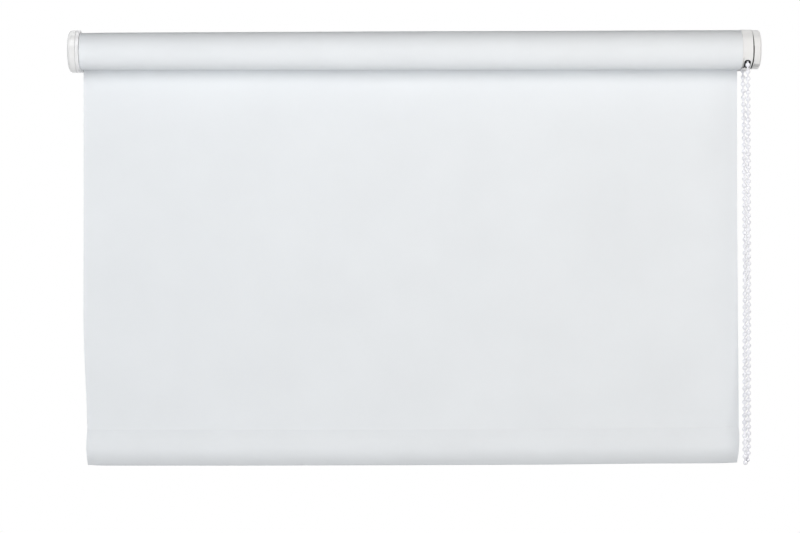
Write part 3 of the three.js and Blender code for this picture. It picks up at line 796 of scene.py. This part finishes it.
def make_bar():
    """The hollow bar in the pocket and a cap with a plug in each of its ends."""
    bar = prism("bottom_bar_section", bar_outline(0.0), "x", FABRIC_LEFT + 2.0, FABRIC_RIGHT - 2.0)
    hollow = prism("bar_hollow", bar_outline(1.0), "x", FABRIC_LEFT, FABRIC_RIGHT)
    combined(bar, [hollow], "DIFFERENCE")
    shaded(softened(tilted(bar), 0.15, 2), 40)
    fitted(bar, "bottom_rail", aluminium, "bar", "bottom_bar")
    recess, head, plug_start, plug_end = 0.3, 1.7, 0.6, 11.7
    left_shift, right_shift = edge_shift(-352)
    for side, edge, inward, shift in (("left", FABRIC_LEFT, 1, left_shift),
                                      ("right", FABRIC_RIGHT, -1, right_shift)):
        face = edge + inward * recess + shift
        spans = sorted((face, edge + inward * head + shift * 0.2))
        cap = prism("bar_end_" + side, bar_outline(0.0), "x", *spans)
        spans = sorted((face + inward * plug_start, edge + inward * plug_end))
        plug = prism("plug", bar_outline(1.3), "x", *spans)
        combined(cap, [plug], "UNION")
        shaded(softened(tilted(cap), 0.35), 40)
        fitted(cap, "bottom_rail", cap_plastic, "white_cover", "bar_cap_" + side)


# Idle end

def make_idle_cap():
    """The round cover, hollow, with a ring inside that holds it to the bracket's collar."""
    outer, seam, rim, skirt = -303.4, -296.35, 18.6, 17.1
    inside, ring_outer, ring_inner = outer + 1.7, 13.3, 11.8
    outline = rounded([
        (outer, 0, 0), (outer, 8, 0), (outer + 0.25, 15.4, 4), (outer + 0.8, rim, 3.3),
        (seam, rim, 0.12), (seam, skirt, 0.2), (inside, skirt, 1.5), (inside, ring_outer, 0.2),
        (seam, ring_outer, 0.25), (seam, ring_inner, 0.25), (inside, ring_inner, 0.3),
        (inside, 0, 0)], steps=8)
    cap = lathe("idle_end_cap", outline, 160)
    fitted(shaded(cap, 50), "frame", white_gloss, "white_cover", "idle_cap")


def wall_bracket(name, x_outer, x_inner, plate_end, web_half):
    """The wall plate and the web of an L, with a rounded inner corner, still to be joined."""
    back, front = AXIS_TO_WALL, AXIS_TO_WALL - PLATE_THICKNESS
    corner, bend, foot = 2.5, 3, back - 0.6
    toward = 1 if plate_end > x_outer else -1
    low, high = sorted((x_outer, plate_end))
    outline = rounded([(low, -PLATE_HALF, corner), (high, -PLATE_HALF, corner),
                       (high, PLATE_HALF, corner), (low, PLATE_HALF, corner)], closed=True)
    plate = prism(name, outline, "y", front, back)
    curve = [(x_inner + toward * (bend - bend * math.cos(a)), front - bend + bend * math.sin(a))
             for a in np.linspace(0, math.pi / 2, 8)]
    web = prism("web", [(x_outer, 0), (x_inner, 0), *curve, (x_inner + toward * bend, foot),
                        (x_outer, foot)], "z", -web_half, web_half)
    return plate, web


def screw_cutters(x):
    """Cutters for a wall plate's two screw holes: a bore and a countersink each."""
    sides, cutters = 32, []
    for z in (-SCREW_RISE, SCREW_RISE):
        bore = circle((x, z), SCREW_RADIUS, sides)
        cutters.append(prism("hole", bore, "y", AXIS_TO_WALL - 4, AXIS_TO_WALL + 2))
        points = [(u, y, v) for y, radius in COUNTERSINK for u, v in circle((x, z), radius, sides)]
        faces = [*band(0, sides, sides), *band(sides, 2 * sides, sides),
                 tuple(range(sides)), tuple(range(2 * sides, 3 * sides))]
        cutters.append(mesh_object("sink", points, faces))
    return cutters


def make_pin_spring():
    """The coil behind the release pin."""
    left, right, wire, radius, turns, travel = -289.5, -268.4, 0.35, 2.9, 7, 4.2
    steps, sides = turns * 28, 12
    points, faces = [], []
    for k in range(steps + 1):
        share = k / steps
        angle = FULL_TURN * turns * share
        x = left + wire + (right - left - 2 * wire) * share
        for i in range(sides):
            around = FULL_TURN * i / sides
            out = radius + wire * math.cos(around)
            points.append((x + wire * math.sin(around), out * math.cos(angle),
                           out * math.sin(angle)))
    for k in range(steps):
        faces += band(k * sides, (k + 1) * sides, sides)
    faces += [tuple(range(sides)), tuple(steps * sides + i for i in range(sides))]
    spring = mesh_object("release_spring", points, faces)
    fitted(shaded(spring, 50), "roller", spring_steel, "spring", "pin_spring")
    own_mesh(spring)


def make_idle_bracket():
    """The bracket that carries the release pin: plate, web, disc and the cap's collar."""
    left, right, disc_radius, pin_radius = -296.2, -293.25, 18.6, 2.85
    collar_left, collar_right, collar_inner, collar_outer = left - 4.2, left + 0.5, 10.0, 11.5
    plate, web = wall_bracket("idle_wall_bracket", left, right, left + PLATE_WIDTH, PLATE_HALF)
    disc = lathe("disc", rounded([(left, 0, 0), (left, disc_radius, 0.12),
                                  (right, disc_radius, 0.2), (right, 0, 0)], steps=4), 160)
    collar = lathe("collar", rounded([
        (collar_right, collar_inner, 0), (collar_left, collar_inner, 0.2),
        (collar_left, collar_outer, 0.2), (collar_right, collar_outer, 0),
        (collar_right, collar_inner, 0)], steps=4), 96)
    combined(plate, [web, disc, collar], "UNION")
    pin_hole = lathe("pin_hole", [(left - 1, 0), (left - 1, pin_radius), (right + 1, pin_radius),
                                  (right + 1, 0)], 48)
    combined(plate, [pin_hole, *screw_cutters(left + PLATE_WIDTH - SCREW_INSET)], "DIFFERENCE")
    shaded(softened(plate, 0.3), 40)
    fitted(plate, "frame", white_bracket, "white_bracket", "idle_bracket")


# Drive end

def chain_slot(name, low, high):
    """A cutter for one strand's keyhole, from below the guard up to its arch."""
    middle, half, bottom, top, corner = CHAIN_X + SLOT_SHIFT, 3.1, -19.0, -10.2, 2.5
    outline = rounded([(middle - half, bottom, 0), (middle + half, bottom, 0),
                       (middle + half, top, corner), (middle - half, top, corner)],
                      closed=True, steps=10)
    return prism(name, outline, "y", low, high)


# The seam between guard and cover: height, the guard's right edge and the cover's left edge
SEAM = [(-17, 295.15, 296.5), (-13.4, 295.5, 296.75), (-11.5, 295.85, 297.0), (-8, 296.05, 297.1),
        (0, 295.9, 297.05), (8, 296.0, 296.85), (11.3, 296.15, 296.65), (15, 296.2, 296.6),
        (17, 296.3, 296.65)]
SEAM_LEFT, SEAM_RIGHT = 295.85, 296.85


def seam_shift(height, edge, column):
    """How far, in metres, the seam's side in that column stands off a straight edge."""
    heights, places = [row[0] for row in SEAM], [row[column] for row in SEAM]
    return (np.interp(height / MM, heights, places) - edge) * MM


def seam_fitted(made, edge, column, reach):
    """Bends a piece's edge to its side of the seam, fading out over the given reach."""
    for v in made.data.vertices:
        fade = max(0.0, 1 - abs(v.co.x / MM - edge) / reach)
        v.co.x += seam_shift(v.co.z, edge, column) * fade


def make_guard():
    """The round housing of the chain wheel, with a thin lip at the roll and two keyholes."""
    left, right, wall, inside, outside = 288.25, SEAM_LEFT, 1.1, 16.7, 17.6
    outline = rounded([(right - wall, 0, 0), (right - wall, inside, 0.4), (left, inside, 0.2),
                       (left, outside, 0.25), (right, outside, 0.1), (right, 0, 0)], steps=5)
    guard = lathe("chain_wheel_guard", outline, 160)
    lip = curved_strip(17.5, 16.9, 208, 30, 96)
    tail = curved_strip(17.5, 16.9, 205, 228, 16)
    fold = curved_strip(17.0, 16.3, 225, 252, 16)
    combined(guard, [prism("lip", lip, "x", 287.02, 288.6), prism("tail", tail, "x", 287.0, 287.87),
                     prism("fold", fold, "x", 287.04, 287.8)], "UNION")
    cutters = [chain_slot("front_slot", -19, -3.6), chain_slot("rear_slot", 3.6, 19),
               prism("hex", circle((0, 0), HEX_RADIUS, 6), "x", right - wall - 1, right + 1)]
    combined(guard, cutters, "DIFFERENCE")
    seam_fitted(guard, right, 1, 3.0)
    shaded(softened(guard, 0.1), 40)
    fitted(guard, "frame", white_satin, "white_cover", "chain_guard")


def make_sprocket_rim():
    """The chain wheel's cups: a rim with a groove for the thread and a pocket for each bead, in dark plastic
    that also paints the shade seen through the keyholes.
    """
    middle, outer, inner, left, right = CHAIN_X + 0.2, 16.2, 12.5, 288.5, 294.7
    chamfer, groove, bed, pocket = 0.4, 0.95, inner + 0.1, 2.4
    rim = lathe("sprocket_rim", [
        (left, inner), (left, outer - chamfer), (left + chamfer, outer), (middle - groove, outer),
        (middle - groove, bed), (middle + groove, bed), (middle + groove, outer),
        (right - chamfer, outer), (right, outer - chamfer), (right, inner), (left, inner)], 112)
    ball = [(pocket * math.cos(a), pocket * math.sin(a)) for a in np.linspace(math.pi, 0, 13)]
    cups = []
    for k in range(WHEEL_POCKETS):
        centre = Vector(on_wheel(WRAP_FROM + k * FULL_TURN / WHEEL_POCKETS))
        cup = lathe("cup", ball, 20)
        for v in cup.data.vertices:
            v.co += centre * MM
        cups.append(cup)
    combined(rim, cups, "DIFFERENCE")
    fitted(shaded(rim, 40), "roller", dark_wheel_shade, "grey_inner")


def make_drive_bracket():
    """The bracket that holds the clutch core: plate, web and disc with a hexagonal hole."""
    left, right, disc_radius = 296.0, 298.0, 11.0
    plate, web = wall_bracket("drive_wall_bracket", right, left, right - PLATE_WIDTH, 13.2)
    disc = lathe("disc", rounded([(left, 0, 0), (left, disc_radius, 0.3),
                                  (right, disc_radius, 0.3), (right, 0, 0)], steps=4), 128)
    combined(plate, [web, disc], "UNION")
    combined(plate, [prism("hex", circle((0, 0), HEX_RADIUS, 6), "x", left - 1, right + 1),
                     *screw_cutters(right - PLATE_WIDTH + SCREW_INSET)], "DIFFERENCE")
    shaded(softened(plate, 0.3), 40)
    fitted(plate, "frame", white_bracket, "white_bracket", "drive_bracket")


def make_seam_shade_ring():
    """A near-black ring in the seam between the guard and the cover: painted shade, standing in for the
    shadow deep in the seam.
    """
    low, high, inner, outer = SEAM_LEFT + 0.02, SEAM_RIGHT - 0.02, 13.5, 16.6
    ring = lathe("seam_shade_ring", [(low, inner), (low, outer), (high, outer), (high, inner),
                                 (low, inner)], 96)
    for v in ring.data.vertices:
        column, edge = (1, SEAM_LEFT) if v.co.x / MM < (low + high) / 2 else (2, SEAM_RIGHT)
        v.co.x += seam_shift(v.co.z, edge, column)
    fitted(shaded(ring, 40), "frame", painted_seam_shade, "grey_inner")


def make_drive_cover():
    """The outer cover, open at the back for the bracket's web, with a patch of grip grooves."""
    left, right, wall, rim, inside, web_side = SEAM_RIGHT, 303.35, 1.6, 17.15, 14.8, 298.3
    outline = rounded([(right - wall, 0, 0), (right - wall, inside, 0.5), (left, inside, 0.1),
                       (left, rim, 0.15), (right, rim, 2.2), (right, 0, 0)], steps=8)
    cover = lathe("drive_end_cover", outline, 160)
    arm = prism("arm", [(left - 2, -inside), (web_side, -inside), (web_side, inside),
                        (left - 2, inside)], "y", 0, 19)
    margin, width, pitch, depth = 0.7, 0.7, 1.1, 1.2
    groove = curved_strip(rim - depth, rim + 1, 231, 251, 12)
    starts = [left + margin + pitch * k for k in range(5)]
    ribs = [prism("rib", groove, "x", start, start + width) for start in starts]
    combined(cover, [arm, *ribs], "DIFFERENCE")
    seam_fitted(cover, left, 2, 4.0)
    shaded(softened(cover, 0.12), 40)
    fitted(cover, "frame", white_satin, "white_cover", "drive_cover")


# Room

def gloss_rays(tree, rays):
    """1 for a ray that was mirrored or let through, else 0."""
    return math_node(tree, "MAXIMUM", rays.outputs["Is Glossy Ray"],
                     rays.outputs["Is Transmission Ray"])


def make_floor():
    """A wide pale floor under the lowered blind, fading into the white around it."""
    height, sides, radii = -1.62, 96, (0.0, 0.6, 1.5, 3.0, 6.0, 12.0)
    points = [(x, y, height) for radius in radii for x, y in circle((0, 0), radius, sides)]
    faces = []
    for r in range(len(radii) - 1):
        faces += band((r + 1) * sides, r * sides, sides)
    mesh = bpy.data.meshes.new("floor")
    mesh.from_pydata(points, [], faces)
    bm = bmesh.new()
    bm.from_mesh(mesh)
    bmesh.ops.remove_doubles(bm, verts=bm.verts, dist=1e-6)
    bm.to_mesh(mesh)
    bm.free()
    floor = object_of("floor", mesh)
    made, tree = new_material("floor_white")
    fade_reach = 7.0
    distance = add(tree, "VectorMath", {0: add(tree, "TexCoord").outputs["Object"]},
                   operation="LENGTH").outputs["Value"]
    far = math_node(tree, "DIVIDE", distance, fade_reach)
    plain = add(tree, "BsdfDiffuse", {"Color": (0.9, 0.9, 0.9, 1)})
    glow = add(tree, "Emission", {"Color": (1, 1, 1, 1), "Strength": 1.0})
    rays = add(tree, "LightPath")
    mirrored = gloss_rays(tree, rays)
    faded = math_node(tree, "MINIMUM", far, 1.0)
    fading = math_node(tree, "MULTIPLY", rays.outputs["Is Camera Ray"], faded)
    share = math_node(tree, "MAXIMUM", mirrored, fading)
    both = add(tree, "MixShader", {0: share, 1: plain.outputs[0], 2: glow.outputs[0]})
    add(tree, "OutputMaterial", {"Surface": both.outputs[0]})
    mesh.materials.append(made)


# The even light from all around, and how much stronger it is from below
AMBIENT, AMBIENT_TILT = 0.322, 0.2

# What gloss mirrors, by the direction it looks in: 0 degrees is level towards the camera, 90
# straight up, -90 straight down and 180 the wall
GLOSS_BANDS = [(-180, 1.0), (-165, 3.6), (-130, 4.0), (-118, 1.6), (-92, 1.6), (-84, 6.0),
               (-70, 6.0), (-60, 1.6), (-40, 0.6), (-25, 0.5), (-19, 1.0), (8, 1.0), (13, 0.4),
               (24, 0.4), (30, 5.0), (66, 5.0), (79, 1.6), (86, 1.6), (94, 4.6), (120, 3.6),
               (146, 1.3), (180, 0.9)]


def make_world():
    """White for the camera, even light for the cloth and bright bands for gloss to mirror."""
    world = bpy.data.worlds.new("studio")
    bpy.context.scene.world = world
    world.use_nodes = True
    tree = world.node_tree
    tree.nodes.clear()
    way = add(tree, "SeparateXYZ", {"Vector": add(tree, "TexCoord").outputs["Generated"]})
    toward = math_node(tree, "MULTIPLY", way.outputs["Y"], -1.0)
    angle = math_node(tree, "ARCTAN2", way.outputs["Z"], toward)
    share = add(tree, "MapRange", {"Value": angle, "From Min": -math.pi, "From Max": math.pi})
    ramp = add(tree, "ValToRGB", {"Fac": share.outputs["Result"]})
    elements = ramp.color_ramp.elements
    brightest = max(value for _, value in GLOSS_BANDS)
    while len(elements) > 1:
        elements.remove(elements[-1])
    for i, (degrees, value) in enumerate(GLOSS_BANDS):
        place = (degrees + 180) / 360
        element = elements[0] if i == 0 else elements.new(place)
        element.position = place
        element.color = (value / brightest,) * 3 + (1,)
    mirrored = add(tree, "Background", {"Color": ramp.outputs["Color"], "Strength": brightest})
    level = math_node(tree, "MULTIPLY_ADD", way.outputs["Z"], -AMBIENT_TILT, AMBIENT)
    soft = add(tree, "Background", {"Color": (1, 1, 1, 1), "Strength": level})
    white = add(tree, "Background", {"Color": (1, 1, 1, 1), "Strength": 1.0})
    rays = add(tree, "LightPath")
    gloss = gloss_rays(tree, rays)
    first = add(tree, "MixShader", {0: gloss, 1: soft.outputs[0], 2: mirrored.outputs[0]})
    last = add(tree, "MixShader", {0: rays.outputs["Is Camera Ray"], 1: first.outputs[0],
                                   2: white.outputs[0]})
    add(tree, "OutputWorld", {"Surface": last.outputs[0]})


def soft_lamp(name, place, aim, size, power, colour=(1.0, 1.0, 1.0)):
    data = bpy.data.lights.new(name, "AREA")
    data.shape, data.size, data.size_y = "RECTANGLE", size[0], size[1]
    data.energy, data.color = power, colour
    lamp = object_of(name, data)
    lamp.location = place
    lamp.rotation_euler = (Vector(aim) - Vector(place)).to_track_quat("-Z", "Y").to_euler()
    lamp.visible_camera, lamp.visible_glossy = False, False


def make_lights():
    """Two soft lamps in front, the left one cooler, and fills from below and from behind."""
    for name, x, power, colour in (("front_left", -0.62, 7.0, (0.97, 0.985, 1.0)),
                                   ("front_right", 0.62, 7.1, (1.0, 0.962, 0.918))):
        soft_lamp(name, (x, -1.08, 0.14), (x, 0, 0.1), (1.24, 0.8), power, colour)
    soft_lamp("low_fill", (0, -1.1, -1.42), (0, 0, -0.1), (2.4, 1.1), 11.2)
    soft_lamp("back_fill", (0, 2.2, 0.1), (0, 0, -0.15), (2.4, 1.4), 20)


# CAD nodes that stay, with their looks

KEPT_LOOKS = {
    "clutch_core": grey_plastic, "core_clip": spring_steel, "core_screw": spring_steel,
    "roller_tube": aluminium, "idle_plug": grey_plastic, "idle_pin": cap_plastic,
    # The chain wheel's dark plastic also paints the shade inside the guard
    "drive_adaptor": grey_plastic, "chain_wheel": dark_wheel_shade,
    "wrap_spring_1": spring_steel, "wrap_spring_2": spring_steel,
}


def dress_kept_nodes():
    for name, look in KEPT_LOOKS.items():
        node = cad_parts[name]
        node.data.materials.clear()
        node.data.materials.append(look)


make_camera()
make_chain()
make_sheet()
make_roll()
make_hem()
make_bar()
make_idle_cap()
make_pin_spring()
make_idle_bracket()
make_guard()
make_sprocket_rim()
make_seam_shade_ring()
make_drive_bracket()
make_drive_cover()
dress_kept_nodes()
make_floor()
make_world()
make_lights()
bpy.context.scene.view_settings.view_transform = "Standard"
